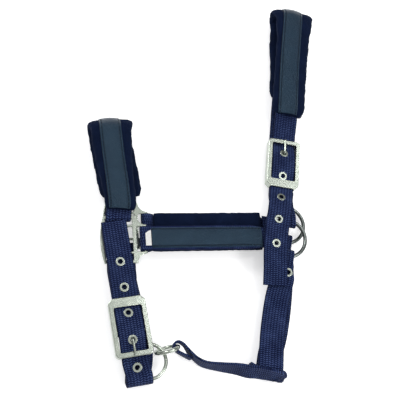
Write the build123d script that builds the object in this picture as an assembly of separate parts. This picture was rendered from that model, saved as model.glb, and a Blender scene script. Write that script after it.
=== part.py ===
from build123d import *
from math import cos, pi, radians, sin
import os

# Horse headcollar lying flat on its far side. X runs from nose to poll, Y from chin to poll,
# Z up from the table. The near half lies on top of the far half.

# --- driving dimensions, mm ---
WEB_W, WEB_T = 25.0, 2.2            # webbing width and thickness
PAD_T = 11.0                        # nose and poll pads
LEATHER_W, LEATHER_T = 22.0, 1.4    # leather-look strip on the pads
CHEEK_PAD_W, CHEEK_PAD_T = 26.0, 7.0
CHEEK_LEATHER_W = 21.0
GAP = 0.1                           # between sewn layers
LOOP_R = 3.4                        # middle of the webbing where it folds round a bar or ring
WIRE_R = 1.8                        # wire of the lead and connector rings
CHEEK_WIRE_R = 2.0
CHEEK_RING_R = 20.0                 # to the middle of the wire
LEAD_RING_R, CONNECTOR_RING_R = 16.4, 11.2
BAR_R = 1.5                         # buckle centre bar
BUCKLE_W = 35.6
TIP_S, KEEPER_S = 24.5, -31.9       # ends of the buckle, from its centre bar
EYELET_R, EYELET_BORE_R, EYELET_TUBE_R = 4.5, 2.5, 3.0
EYELET_FLANGE = 0.6
SQUARE_T = 3.0                      # halter square plate
FAR = Vector(4, 18, 0)              # how far the far half is shifted under the near half

# --- heights above the table ---
Z_FAR = 4.6                         # middle of the far square and far ring
Z_SQUARE, Z_RING = 17.0, 14.5       # middle of the near square and near ring
Z_PAD_FAR = PAD_T / 2 + LEATHER_T + 2 * GAP
Z_LEAD = 8.4

# --- places ---
SQUARE = Vector(-106, -67, Z_SQUARE)
SQUARE_BAR = 22.75                  # outer bars, from the square's middle
CHEEK_BAR = 24.9
RING = Vector(68, -67, Z_RING)
CROWN_BAR, CROWN_TILT = Vector(75, 20, 11), 10.0
CHIN_BAR, CHIN_TILT = Vector(-99.2, -157.8, 18), 6.5
LEAD = Vector(-82, -185, Z_LEAD)
CONNECTOR = Vector(-64.7, -175.5, 12.6)
CONNECTOR_NORMAL = Vector(-0.234, 0.926, 0.298)
UP = Vector(0, 0, 1)
X_DIR = Vector(1, 0, 0)
FIRST_EYELET = 8.5                  # the eyelet the tongue is through, from the centre bar


def heading(tilt):
    """Unit vector at tilt degrees from +Y towards +X."""
    return Vector(sin(radians(tilt)), cos(radians(tilt)), 0)


CROWN_DIR, CROWN_ACROSS = heading(CROWN_TILT), heading(CROWN_TILT + 90)
CHIN_DIR, CHIN_ACROSS = heading(180 - CHIN_TILT), heading(90 - CHIN_TILT)
THROAT_DIR = Vector(-0.255, -0.967, 0)
THROAT_ACROSS = Vector(0.967, -0.255, 0)
NOSE_ACROSS = Vector(0.998, 0.07, 0)


# --- ribbons: a route of (point, width) stations, lofted with a flat section ---
def arc(center, start, side, width=WEB_W, steps=8):
    """Half circle of stations from center + start, by way of center + side."""
    turns = [pi * i / steps for i in range(steps + 1)]
    return [(center + start * cos(a) + side * sin(a), width) for a in turns]


def along(origin, direction, pairs, width=WEB_W):
    """Stations at (distance, height) pairs on a straight line seen from above."""
    base = Vector(origin.X, origin.Y, 0)
    return [(base + direction * s + UP * z, width) for s, z in pairs]


def swung(route, across, shifts):
    """The route with each station moved sideways by its own shift."""
    return [(point + across * by, width) for (point, width), by in zip(route, shifts)]


def tangent(points, i):
    """Direction of the route at station i."""
    return (points[min(i + 1, len(points) - 1)] - points[max(i - 1, 0)]).normalized()


def section(center, across, normal, width, thickness, bevel):
    """Closed outline of a flat section with bevelled corners."""
    w, t = width / 2, thickness / 2
    if bevel == 0:
        corners = [(w, t), (-w, t), (-w, -t), (w, -t)]
    else:
        corners = [(w - bevel, t), (bevel - w, t), (-w, t - bevel), (-w, bevel - t)]
        corners += [(-x, -y) for x, y in corners]
    return Wire.make_polygon([center + across * x + normal * y for x, y in corners], close=True)


def ribbon(route, across, thickness=WEB_T, width=None, lift=0.0, bevel=0.0):
    """Loft a strap, pad or strip along a route. lift moves it off the route, outwards."""
    points = [point for point, _ in route]
    wires = []
    for i, (point, own_width) in enumerate(route):
        ahead = tangent(points, i)
        wanted = across(point) if callable(across) else across
        side = (wanted - ahead * wanted.dot(ahead)).normalized()
        normal = side.cross(ahead)
        wide = own_width if width is None else width(i) if callable(width) else width
        thick = thickness(i) if callable(thickness) else thickness
        wires.append(section(point + normal * lift, side, normal, wide, thick, bevel))
    return Solid.make_loft(wires, ruled=True)


def crown_side(point):
    """Across the crown strap; square to the far ring where it goes round it."""
    return X_DIR if point.Z < 10 and point.Y < 10 else CROWN_ACROSS


def chin_side(point):
    """Across the chin strap; square to the halter squares where it goes round them."""
    return -X_DIR if point.Y > -100 and point.Z < 22 else -CHIN_ACROSS


def crown(*pairs, width=WEB_W):
    return along(CROWN_BAR, CROWN_DIR, pairs, width)


def chin(*pairs, width=WEB_W):
    return along(CHIN_BAR, CHIN_DIR, pairs, width)


# --- rings, buckles, eyelets ---
def ring(center, radius, wire, normal=UP):
    return Solid.make_torus(radius, wire, Plane(origin=center, z_dir=normal))


def buckle_frame():
    """Die-cast frame: centre bar along X at the origin, tip bar at +Y, keeper plate at -Y."""
    low, high, inside = -2.0, 6.7, 13.5
    tip_inner, keeper_inner = 20.0, -22.9
    half, cut = BUCKLE_W / 2, 4.2
    outline = FilletPolyline((-half, KEEPER_S + cut), (cut - half, KEEPER_S), (half - cut, KEEPER_S),
                             (half, KEEPER_S + cut), (half, TIP_S), (-half, TIP_S),
                             radius=[1.0, 1.0, 1.0, 1.0, 4.5, 4.5], close=True)
    plate = Pos(0, 0, low) * extrude(make_face(outline), high - low)
    plate = fillet([e for e in plate.edges() if e.center().Z > high - 0.01], 0.9)
    hole = extrude(RectangleRounded(2 * inside, tip_inner - keeper_inner, 1.8), 20, both=True)
    window = Pos(0, (tip_inner + keeper_inner) / 2, 2) * hole
    under_tip = Pos(0, TIP_S + 1, 3.2 - 10) * Box(2 * inside, 12, 20)
    under_keeper = Pos(0, KEEPER_S - 1, 4.5 - 10) * Box(2 * inside, 24, 20)
    plate = plate - window - under_tip - under_keeper
    bar = Cylinder(BAR_R, 2 * inside + 4, rotation=(0, 90, 0))
    return plate + bar


def buckle_tongue():
    """Wire tongue: eye round the centre bar, up through an eyelet, resting on the tip bar."""
    wire, rest = 1.2, 6.7 + 1.2 + 0.05
    tip = TIP_S - 1.5
    path = FilletPolyline((0, 2.2, -0.3), (0, FIRST_EYELET, -0.3), (0, FIRST_EYELET, rest + 0.5),
                          (0, tip - 6, rest + 0.3), (0, tip, rest), radius=[1.5, 2.0, 6.0])
    rod = sweep(Plane(origin=path @ 0, z_dir=path % 0) * Circle(wire), path=path)
    eye = Cylinder(2.9, 4, rotation=(0, 90, 0)) - Cylinder(BAR_R + 0.05, 6, rotation=(0, 90, 0))
    end = Pos(0, tip, rest) * Sphere(wire)
    rod = rod - Cylinder(2.0, 6, rotation=(0, 90, 0))
    return eye + rod + end


def eyelet(thickness=WEB_T):
    """Two-part eyelet: tube with a rolled flange on each face of the webbing."""
    half = thickness / 2 + 0.05
    body = Cylinder(EYELET_TUBE_R, 2 * (half + EYELET_FLANGE))
    for side in (-1, 1):
        flange = Cylinder(EYELET_R, EYELET_FLANGE)
        body += Pos(0, 0, side * (half + EYELET_FLANGE / 2)) * flange
    body -= Cylinder(EYELET_BORE_R, 10)
    rims = body.edges().filter_by(GeomType.CIRCLE)
    outer = [e for e in rims if e.radius > EYELET_R - 0.1 and abs(e.center().Z) > half + 0.3]
    return fillet(outer, 0.4)


def frame_on(route, distance, origin, direction, across):
    """Location on a route's top layer at a distance from origin, its Z along the webbing's normal."""
    target = Vector(origin.X, origin.Y, 0) + direction * distance
    places = [(p - target).dot(direction) for p, _ in route]
    for i in range(len(route) - 1):
        a, b = places[i], places[i + 1]
        if min(a, b) <= 0 <= max(a, b) and a != b:
            start, end = route[i][0], route[i + 1][0]
            point = start + (end - start) * (a / (a - b))
            ahead = (end - start).normalized()
            normal = across.cross(ahead)
            normal = normal if normal.Z > 0 else -normal
            return Location(Plane(origin=point, x_dir=across, z_dir=normal))
    raise ValueError("no such place on the route")


def buckle_at(bar, direction, across):
    return Location(Plane(origin=bar, x_dir=across, z_dir=across.cross(direction)))


# --- routes ---
CROWN_FREE = [(Vector(*at), WEB_W) for at in
              ((48.3, -117.5, 17.4), (49.8, -100, 21), (51.2, -84, 22.6), (56, -59, 22.6),
               (61.1, -40.3, 22.2), (64.1, -29.7, 20.2), (67.8, -16.8, 15.9))]
CROWN_FREE += crown((-31.5, 14.2), (-22.9, 14.2), (-11.5, 16.4), (3, 16.4), (14, 13.9),
                    (20, 12.8), (24.5, 12.7), (33, 13.6))
CROWN_FREE += swung(crown((50, 19.2)), CROWN_ACROSS, [-0.6])
CROWN_EYELETS = (8.5, -18, -44.4, -70.9, -97.5)
POLL_TOP, POLL_FOLD_Z = 172.0, 31.0
POLL_R = (POLL_FOLD_Z - Z_PAD_FAR) / 2
POLL = crown((53, 20), (62, 21.5), (75, 23), (110, 26.5), (150, 30), (162, 30.8))
POLL += arc(CROWN_BAR + CROWN_DIR * POLL_TOP + UP * (Z_PAD_FAR + POLL_R - CROWN_BAR.Z),
            UP * POLL_R, CROWN_DIR * POLL_R, steps=12)
POLL += crown((150, Z_PAD_FAR), (110, Z_PAD_FAR), (90, Z_PAD_FAR), (80, Z_PAD_FAR))
POLL_SWING = [-0.8, -1.1, -1.6, -2.9, -3.4] + [-3.4] * 15 + [-2.9, -2.2, -1.8]
POLL = swung(POLL, CROWN_ACROSS, POLL_SWING)
NOSE_START, NOSE_TOP, NOSE_FOLD_Z = -38.0, 44.0, 31.0
NOSE_R = (NOSE_FOLD_Z - Z_PAD_FAR) / 2
FAR_SQUARE = SQUARE + FAR - UP * (Z_SQUARE - Z_FAR)
FAR_RING = RING + FAR - UP * (Z_RING - Z_FAR)


def ring_loop(wire_top, out, tail, width=16):
    """Stations down to a cheek ring's upper wire, round it and back. out is the side it goes down on."""
    down = Vector(0, -1, 0)
    center = wire_top + down * 3.6
    start = UP * (LOOP_R * out)
    route = [(center - down * 8 + start, width + 1)] + arc(center, start, down * LOOP_R, width)
    return route + [(center - down * 8 - start, width + 1), (center - down * 20 + UP * tail, 23)]


CROWN_FAR = swung(crown((74, 5.5), (60, 2.4), (-14, 2.4)), CROWN_ACROSS, [-1.5, -0.8, 0])
CROWN_FAR += ring_loop(FAR_RING + Vector(2, CHEEK_RING_R, 0), -1, 0.4)


def nose_near(y, z):
    return (Vector(SQUARE.X + 0.5 - 0.073 * (y + 44), y, z), WEB_W)


def nose_far(y, z):
    start = FAR_SQUARE.Y + SQUARE_BAR
    top_x = nose_near(NOSE_TOP, 0)[0].X
    share = (y - start) / (NOSE_TOP - start)
    return (Vector(FAR_SQUARE.X + (top_x - FAR_SQUARE.X) * share, y, z), WEB_W)


NOSE = [nose_near(y, z) for y, z in ((-38, 20.4), (-30, 21), (-10, 24), (15, 27.5), (34, 30.4))]
NOSE = swung(NOSE, X_DIR, [0.8, 1.8, 1.5, 0.5, 0])
NOSE += arc(Vector(nose_near(NOSE_TOP, 0)[0].X, NOSE_TOP, Z_PAD_FAR + NOSE_R),
            UP * NOSE_R, Vector(0, NOSE_R, 0), steps=12)
NOSE += [nose_far(y, Z_PAD_FAR) for y in (30, 0, -12, -19)]
NOSE_BAR = SQUARE.Y + SQUARE_BAR
NOSE_IN = [nose_near(NOSE_BAR + 6, Z_SQUARE - LOOP_R)]
NOSE_IN += arc(Vector(SQUARE.X, NOSE_BAR - 0.6, Z_SQUARE), -UP * LOOP_R, Vector(0, -LOOP_R, 0))
FAR_NOSE_BAR = FAR_SQUARE.Y + SQUARE_BAR
NOSE_OUT = arc(Vector(FAR_SQUARE.X, FAR_NOSE_BAR - 0.6, Z_FAR), UP * LOOP_R, Vector(0, -LOOP_R, 0))
NOSE_OUT += [nose_far(FAR_NOSE_BAR + 5, Z_FAR - LOOP_R)]

CHIN_FOLD_S, CHIN_FOLD_R = 42.5, 6.2
CHIN_FREE = chin((-108, 23.4), (-100, 23.8), (-57, 23.8), (-48, 23.4), (-37.5, 22.4), (-33, 21.3),
                 (-22.2, 21.2), (-11, 23.3), (3, 23.3), (14, 20.9), (20, 19.8), (24.5, 19.7),
                 (28, 18.6))
CHIN_EYELETS = (33.5, 8.5, -16.5, -41.5, -66.5)
CHIN_FREE += [(CHIN_BAR + CHIN_DIR * 39 + CHIN_ACROSS * 1.8 - UP * 3, WEB_W)]
CHIN_FOLD = arc(CHIN_BAR + CHIN_DIR * CHIN_FOLD_S + CHIN_ACROSS * 2.2 + UP * (Z_LEAD - CHIN_BAR.Z),
                UP * CHIN_FOLD_R, CHIN_DIR * CHIN_FOLD_R)
FAR_CHIN_BAR = FAR_SQUARE.Y - SQUARE_BAR
CHIN_FAR = [(Vector(-87.5, -192, 2.5), 17), (Vector(-86.5, -181, 12.6), 16),
            (Vector(-87.5, -172, 12.6), 17), (Vector(-92, -158, 11.5), 23),
            (Vector(-96, -135, 7), WEB_W), (Vector(-101, -105, 2.4), WEB_W),
            (Vector(FAR_SQUARE.X, FAR_CHIN_BAR - 8, Z_FAR - LOOP_R), WEB_W)]
CHIN_FAR += arc(Vector(FAR_SQUARE.X, FAR_CHIN_BAR + 0.6, Z_FAR), -UP * LOOP_R, Vector(0, LOOP_R, 0))
CHIN_FAR += [(Vector(FAR_SQUARE.X, FAR_CHIN_BAR - 8, Z_FAR + LOOP_R), WEB_W),
             (Vector(FAR_SQUARE.X + 0.3, FAR_CHIN_BAR - 22, 5.2), WEB_W),
             (Vector(FAR_SQUARE.X + 0.8, FAR_CHIN_BAR - 32, 4.9), WEB_W)]

THROAT_TOP = Vector(64, -87, 0)
THROAT_FAR_TOP = Vector(67.3, -69, 0)


def throat(*pairs, width=WEB_W, origin=THROAT_TOP):
    return along(origin, THROAT_DIR, pairs, width)


THROAT_FOLD_S, THROAT_FOLD_R, THROAT_FOLD_Z = 111.7, 8.3, 10.7
THROAT_NEAR_LOOP, THROAT_FAR_LOOP = -4.0, -5.5
THROAT = throat((26, 11.9), (16, 11.7), width=22) + throat((5, Z_RING - LOOP_R), width=16)
THROAT += arc(THROAT_TOP + THROAT_DIR * THROAT_NEAR_LOOP + UP * Z_RING,
              -UP * LOOP_R, -THROAT_DIR * LOOP_R, 16)
THROAT += throat((5, Z_RING + LOOP_R), width=16) + throat((10, 16.8), width=19)
THROAT += swung(throat((24, 15.3), (45, 13.5), (75, 14.5), (98, 18)), THROAT_ACROSS, [-0.5, -2.5, -3, -2.5])
THROAT_FOLD = arc(THROAT_TOP + THROAT_DIR * THROAT_FOLD_S + UP * THROAT_FOLD_Z,
                  UP * THROAT_FOLD_R, THROAT_DIR * THROAT_FOLD_R)
THROAT += swung(THROAT_FOLD, THROAT_ACROSS, [0.3 * i - 1.4 for i in range(9)])
THROAT_FAR = throat((118, 2.4), (95, 2.4), (60, 2.4), (30, 2.4), origin=THROAT_FAR_TOP)
THROAT += swung(THROAT_FAR, THROAT_ACROSS, [2.5, 5, 5, 2.5])
THROAT += throat((16, 1.8), width=20, origin=THROAT_FAR_TOP)
THROAT += throat((5, Z_FAR - LOOP_R), width=16, origin=THROAT_FAR_TOP)
THROAT += arc(THROAT_FAR_TOP + THROAT_DIR * THROAT_FAR_LOOP + UP * Z_FAR,
              -UP * LOOP_R, -THROAT_DIR * LOOP_R, 16)
THROAT += throat((5, Z_FAR + LOOP_R), width=16, origin=THROAT_FAR_TOP)
THROAT += throat((18, 4.9), (34, 4.9), width=22, origin=THROAT_FAR_TOP)


def cheek_route(bar_x, ring_x, y, middle_z, ring_z, out, run_z, tail_z):
    """Cheek webbing: tail, loop round the square's bar, outer run, loop round the ring, tail."""
    def at(x, z, width=WEB_W):
        return (Vector(x, y, z), width)
    side = UP * (LOOP_R * out)
    route = [at(bar_x + 7.5, tail_z), at(bar_x + 3.5, middle_z - out * 3)]
    route += arc(Vector(bar_x, y, middle_z), -side, Vector(-LOOP_R, 0, 0))
    end_z = ring_z + out * LOOP_R + (1.0 if out > 0 else 0.7)
    route += [at(bar_x + 12, run_z), at(ring_x - 22, run_z), at(ring_x - 9, end_z, 22)]
    route += [at(ring_x - 3, ring_z + out * LOOP_R, 17)]
    route += arc(Vector(ring_x + 2.4, y, ring_z), side, Vector(LOOP_R, 0, 0), 15)
    return route + [at(ring_x - 3.5, ring_z - out * LOOP_R, 17), at(ring_x - 6, ring_z - out * LOOP_R, 18)]


def connector_route():
    """Band standing on edge: round the connector ring, along, and round the chin fold of the throat."""
    ahead, aside = Vector(0.77, -0.64, 0), Vector(0.64, 0.77, 0)
    wire = CONNECTOR + Vector(0.97, 0.245, 0) * CONNECTOR_RING_R
    turn = WIRE_R + 1.4 + WEB_T / 2
    low = UP * (10.8 - CONNECTOR.Z)
    route = [(wire - aside * 1.6 + ahead * 17 + low * 0.5, 12), (wire - aside * turn + ahead * 4, 8)]
    route += arc(wire, -aside * turn, -ahead * turn, 7)
    route += [(wire + aside * turn + ahead * 4, 8), (wire + aside * 1.4 + ahead * 17 + low, 17)]
    route += [(Vector(*place), 20) for place in
              ((-30, -190, 10.8), (-13, -194, 11.2), (3, -197, 12.5), (13, -200, 14))]
    outer, inner = CONNECTOR_FOLD + THROAT_DIR * 9.9 + UP * 4.8, CONNECTOR_FOLD + THROAT_DIR * 3.7
    route += [(outer - THROAT_ACROSS * 12, 19), (outer + THROAT_ACROSS * 9, 17)]
    middle = CONNECTOR_FOLD + THROAT_DIR * 7.3 + THROAT_ACROSS * 12.6
    route += arc(middle, THROAT_DIR * 3.6, THROAT_ACROSS * 3.6, 9.4)
    return route + [(inner - THROAT_ACROSS * 14, 9.4), (inner - THROAT_DIR * 1.5 - THROAT_ACROSS * 20, 9.4)]


CONNECTOR_FOLD = THROAT_TOP + THROAT_DIR * THROAT_FOLD_S + UP * 10.8


def connector_side(point):
    """Across the connector strap: upright, leaning back over the throat fold where it passes it."""
    from_fold = point - CONNECTOR_FOLD
    outside = point.X < 15 or from_fold.dot(THROAT_DIR) > 9
    lean = 25 * min(1.0, max(0.0, (point.X + 38) / 50)) if outside else 0
    return UP * cos(radians(lean)) - THROAT_DIR * sin(radians(lean))


# --- nodes ---
def folded(near, fold, far):
    """Pad (width, shift) pairs: the near ones, 13 round the fold by way of its own, the far ones."""
    def between(a, b, share):
        return tuple(u + (v - u) * share for u, v in zip(a, b))
    rise = [between(near[-1], fold, i / 6) for i in range(6)]
    drop = [between(fold, far[0], i / 6) for i in range(7)]
    return near + rise + drop + far


def padded(route, across, sizes):
    """Pad sleeve with a slot for the webbing, and a (width, sideways shift) pair per station."""
    last = len(route) - 1

    def thickness(i):
        return PAD_T - 4 if i in (0, last) else PAD_T

    middle = swung(route, across, [shift for _, shift in sizes])
    sleeve = ribbon(middle, across, thickness, lambda i: sizes[i][0], bevel=2.5)
    slot = ribbon(lengthened(route), across, WEB_T + 2 * GAP, WEB_W + 0.6)
    return sleeve - slot


def lengthened(route):
    """The route carried a little past both ends, for a clean cut."""
    (first, width), (second, _) = route[0], route[1]
    (last, _), (before, _) = route[-1], route[-2]
    start = first + (first - second).normalized() * 3
    end = last + (last - before).normalized() * 3
    return [(start, width)] + route + [(end, width)]


POLL_PAD_SIZES = folded([(33, 1.2), (39, 1.8), (39, 2), (39, 2.9), (40, 3.2), (44, 3)], (54, 2.6),
                        [(44, 3), (39, 3), (39, 2.4), (33, 2)])
NOSE_PAD_SIZES = folded([(32, 1.4), (33, 1.4), (35, 1), (39, 0.5), (43, 0.8)], (50, 1.5),
                        [(46, 2.8), (46, 3), (45, 3), (40, 2.5)])


def pad_leather(route, across):
    """Leather-look strip on the outside of a pad, a little narrower at its ends."""
    last = len(route) - 1

    def pulled(a, b, by):
        return (a[0] + (b[0] - a[0]).normalized() * by, a[1])
    def width(i):
        return LEATHER_W - 1.5 if i in (0, last) else LEATHER_W

    inset = [pulled(route[0], route[1], 0.8)] + route[1:-1] + [pulled(route[-1], route[-2], 3)]
    return ribbon(inset, across, LEATHER_T, width, lift=PAD_T / 2 + GAP + LEATHER_T / 2)


def halter_square():
    """Cast square: middle window, one outer bar for each of three straps, rounded front side."""
    half, bar, spike, front = 15.0, 24.5, 17.8, 18.5
    reach = 27.5
    hollow = reach - spike
    with BuildSketch() as face:
        with BuildLine():
            Polyline((-half, bar), (spike, bar))
            RadiusArc((spike, bar), (reach, bar - hollow), -hollow)
            Line((reach, bar - hollow), (reach, hollow - bar))
            RadiusArc((reach, hollow - bar), (spike, -bar), -hollow)
            Line((spike, -bar), (-half, -bar))
            ThreePointArc((-half, -bar), (-front, 0), (-half, bar))
        make_face()
        Rectangle(27, 25.4, mode=Mode.SUBTRACT)
        for side in (-1, 1):
            with Locations((0, side * 18)):
                Rectangle(26.6, 6, mode=Mode.SUBTRACT)
        with Locations((20.5, 0)):
            Rectangle(6.4, 25.6, mode=Mode.SUBTRACT)
    plate = extrude(face.sketch, SQUARE_T / 2, both=True)
    return fillet([e for e in plate.edges() if abs(e.center().Z) > SQUARE_T / 2 - 0.01], 0.6)


def label_tab():
    """Blank woven tab with one cut corner."""
    outline = Polyline((0, 0), (5.6, 0), (5.6, 16), (3, 16), (0, 12.5), close=True)
    return Pos(-80.4, -75, 21.6) * extrude(make_face(outline), 0.4)


def punched(strap, places):
    """Strap with a hole at each eyelet."""
    seat = WEB_T / 2 + 0.04
    for place in places:
        strap = strap - place * Cylinder(EYELET_TUBE_R + 0.15, 8)
        for side in (-1, 1):
            strap = strap - place * Pos(0, 0, side * (seat + 1)) * Cylinder(EYELET_R + 0.1, 2)
    return strap


def grouped(places):
    return Compound([place * eyelet() for place in places])


def crown_parts():
    strap_route = CROWN_FREE + POLL + CROWN_FAR
    places = [frame_on(CROWN_FREE, s, CROWN_BAR, CROWN_DIR, CROWN_ACROSS) for s in CROWN_EYELETS]
    seat = buckle_at(CROWN_BAR, CROWN_DIR, CROWN_ACROSS)
    z = CROWN_BAR.Z
    eye_r = BAR_R + 0.3 + WEB_T / 2
    loop = ring_loop(RING + Vector(3, CHEEK_RING_R, 0), 1, 0)[:-1]
    start = crown((-29, 11.2), (-33, 11.3), (-42, 13.4))
    back = crown((-44, 10.7), (-33, 8.8), (-20, 8.7), (-8, 8.4))
    back += arc(CROWN_BAR, -UP * eye_r, CROWN_DIR * eye_r)
    back += crown((-8, 12.4), (-20, 11.2), (-28, 11.2))
    band = ribbon(start + loop + back, -CROWN_ACROSS) - seat * Box(6.4, 13, 12)
    return {
        "crown_strap": punched(ribbon(strap_route, crown_side), places),
        "crown_eyelets": grouped(places),
        "crown_buckle_frame": seat * buckle_frame(),
        "crown_buckle_tongue": seat * buckle_tongue(),
        "crown_chape": band,
        "poll_pad": padded(POLL, CROWN_ACROSS, POLL_PAD_SIZES),
        "poll_leather": pad_leather(POLL, CROWN_ACROSS),
    }


def chin_parts():
    strap_route = CHIN_FREE + CHIN_FOLD + CHIN_FAR
    places = [frame_on(CHIN_FREE, s, CHIN_BAR, CHIN_DIR, CHIN_ACROSS) for s in CHIN_EYELETS]
    seat = buckle_at(CHIN_BAR, CHIN_DIR, -CHIN_ACROSS)
    start = chin((-29, 18.8), (-33, 18.7), (-45, 19.5), (-60, Z_SQUARE + LOOP_R))
    start += arc(SQUARE - Vector(0, SQUARE_BAR - 0.6, 0), UP * LOOP_R, Vector(0, LOOP_R, 0))
    eye_r = BAR_R + 0.3 + WEB_T / 2
    back = chin((-60, Z_SQUARE - LOOP_R), (-45, 15.2), (-33, 16.2), (-20, 16.1), (-8, 15.5))
    back += arc(CHIN_BAR, -UP * eye_r, CHIN_DIR * eye_r)
    back += chin((-8, 19.6), (-20, 18.6), (-28, 18.7))
    band = ribbon(start + back, lambda point: -chin_side(point)) - seat * Box(6.4, 13, 12)
    return {
        "chin_strap": punched(ribbon(strap_route, chin_side), places),
        "chin_eyelets": grouped(places),
        "chin_buckle_frame": seat * buckle_frame(),
        "chin_buckle_tongue": seat * buckle_tongue(),
        "chin_chape": band,
    }


def cheek_parts(side, square, cheek_ring, out):
    """Webbing, pad and leather-look strip. out is 1 with the outer face up and -1 with it down."""
    near = out > 0
    run_z = Z_SQUARE + LOOP_R if near else 2.7
    layer = WEB_T + GAP
    ring_x = cheek_ring.X - CHEEK_RING_R
    bar_x = square.X + CHEEK_BAR
    webbing = cheek_route(bar_x, ring_x, square.Y, square.Z, cheek_ring.Z, out, run_z, run_z - out * layer)
    pad_z = run_z - out * (WEB_T / 2 + GAP + CHEEK_PAD_T / 2)
    pad_x0, pad_x1 = bar_x + 8.5, ring_x - (8 if near else 10.5)
    slope_x = ring_x - 22
    pad = Pos((pad_x0 + slope_x) / 2, square.Y, pad_z) * Box(slope_x - pad_x0, CHEEK_PAD_W, CHEEK_PAD_T)
    thin = pad_z - out * 0.9
    pad += Pos((slope_x + pad_x1) / 2, square.Y, thin) * Box(pad_x1 - slope_x, CHEEK_PAD_W, CHEEK_PAD_T - 1.8)
    pad = fillet(pad.edges().filter_by(Axis.X), 1.5)
    first = 7 if near else 13
    strip = [(Vector(bar_x + first, square.Y, run_z), WEB_W)] + webbing[12:14 if near else 13]
    lift = WEB_T / 2 + GAP + LEATHER_T / 2
    return {
        f"{side}_cheek_webbing": ribbon(webbing, Vector(0, 1, 0) * out),
        f"{side}_cheek_pad": pad,
        f"{side}_cheek_leather": ribbon(strip, Vector(0, 1, 0) * -out, LEATHER_T, CHEEK_LEATHER_W, lift),
        f"{side}_cheek_ring": ring(cheek_ring, CHEEK_RING_R, CHEEK_WIRE_R),
        f"{side}_halter_square": Location(square) * halter_square(),
    }


def nose_parts():
    return {
        "nose_strap": ribbon(NOSE_IN + NOSE + NOSE_OUT, NOSE_ACROSS),
        "nose_pad": padded(NOSE, NOSE_ACROSS, NOSE_PAD_SIZES),
        "nose_leather": pad_leather(NOSE, NOSE_ACROSS),
    }


def throat_parts():
    rivet = frame_on(THROAT[12:22], 16.5, THROAT_TOP, THROAT_DIR, THROAT_ACROSS) * Pos(4.5, 0, 0)
    return {
        "throat_strap": punched(ribbon(THROAT, -THROAT_ACROSS), [rivet]),
        "throat_eyelet": rivet * eyelet(),
        "lead_ring": ring(LEAD, LEAD_RING_R, WIRE_R),
        "connector_ring": ring(CONNECTOR, CONNECTOR_RING_R, WIRE_R, CONNECTOR_NORMAL),
        "connector_strap": ribbon(connector_route(), connector_side),
    }


def build():
    parts = {}
    parts.update(crown_parts())
    parts.update(chin_parts())
    parts.update(cheek_parts("near", SQUARE, RING, 1))
    parts.update(cheek_parts("far", FAR_SQUARE, FAR_RING, -1))
    parts.update(nose_parts())
    parts.update(throat_parts())
    parts["label_tab"] = label_tab()
    box = Compound(list(parts.values())).bounding_box()
    origin = Vector((box.min.X + box.max.X) / 2, (box.min.Y + box.max.Y) / 2, box.min.Z)
    print("origin", origin, "size", box.size)
    return {name: Pos(-origin) * shape for name, shape in parts.items()}


if __name__ == "__main__":
    os.makedirs("parts", exist_ok=True)
    for name, shape in build().items():
        shape.label = name
        export_step(shape, f"parts/{name}.step")
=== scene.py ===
from math import cos, pi, radians, sin

import bpy
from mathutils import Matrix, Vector


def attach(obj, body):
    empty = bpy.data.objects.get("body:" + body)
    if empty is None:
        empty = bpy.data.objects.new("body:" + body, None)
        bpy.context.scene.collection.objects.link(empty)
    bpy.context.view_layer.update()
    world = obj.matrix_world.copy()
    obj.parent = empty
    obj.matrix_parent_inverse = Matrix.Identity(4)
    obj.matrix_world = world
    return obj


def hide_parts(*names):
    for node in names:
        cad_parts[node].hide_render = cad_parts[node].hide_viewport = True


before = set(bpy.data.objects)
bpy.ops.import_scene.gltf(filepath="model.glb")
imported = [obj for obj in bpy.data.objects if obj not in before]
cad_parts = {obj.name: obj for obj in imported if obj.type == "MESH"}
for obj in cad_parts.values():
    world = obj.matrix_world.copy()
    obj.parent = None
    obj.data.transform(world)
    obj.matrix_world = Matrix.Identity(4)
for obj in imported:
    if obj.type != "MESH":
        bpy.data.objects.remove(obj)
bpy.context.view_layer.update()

ROOT = "headcollar"

# ---------------------------------------------------------------- sizes, mm, as in the CAD part
ORIGIN = Vector((-1.137, -0.366, 0.056))       # the row frame's origin in the layout below
WEB_W, WEB_T = 25.0, 2.2
PAD_T = 11.0
LEATHER_W, LEATHER_T = 22.0, 1.4
CHEEK_LEATHER_W = 21.0
GAP = 0.1
LOOP_R = 3.4
BAR_R = 1.5
UP = Vector((0, 0, 1))
SQUARE, FAR_SQUARE = Vector((-106, -67, 17)), Vector((-102, -49, 4.6))
RING, FAR_RING = Vector((68, -67, 14.5)), Vector((72, -49, 4.6))
RING_R = 20.0
SQUARE_BAR, CHEEK_BAR = 22.75, 24.9
CROWN_BAR, CHIN_BAR = Vector((75, 20, 11)), Vector((-99.2, -157.8, 18))
LEAD_Z = 8.4
PAD_FAR_Z = PAD_T / 2 + LEATHER_T + 2 * GAP
NOSE_ACROSS = Vector((0.998, 0.07, 0))
THROAT_DIR, THROAT_ACROSS = Vector((-0.255, -0.967, 0)), Vector((0.967, -0.255, 0))
THROAT_TOP, THROAT_FAR_TOP = Vector((64, -87, 0)), Vector((67.3, -69, 0))
CONNECTOR = Vector((-64.7, -175.5, 12.6))
CONNECTOR_FOLD = THROAT_TOP + THROAT_DIR * 111.7 + UP * 10.8


def heading(tilt):
    """Unit vector at tilt degrees from +Y towards +X."""
    return Vector((sin(radians(tilt)), cos(radians(tilt)), 0))


CROWN_DIR, CROWN_ACROSS = heading(10), heading(100)
CHIN_DIR, CHIN_ACROSS = heading(173.5), heading(83.5)


# ---------------------------------------------------------------- routes: lists of (point, width)
def arc(center, start, side, width=WEB_W, steps=8):
    turns = [pi * i / steps for i in range(steps + 1)]
    return [(center + start * cos(a) + side * sin(a), width) for a in turns]


def along(origin, direction, pairs, width=WEB_W):
    base = Vector((origin.x, origin.y, 0))
    return [(base + direction * s + UP * z, width) for s, z in pairs]


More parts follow.
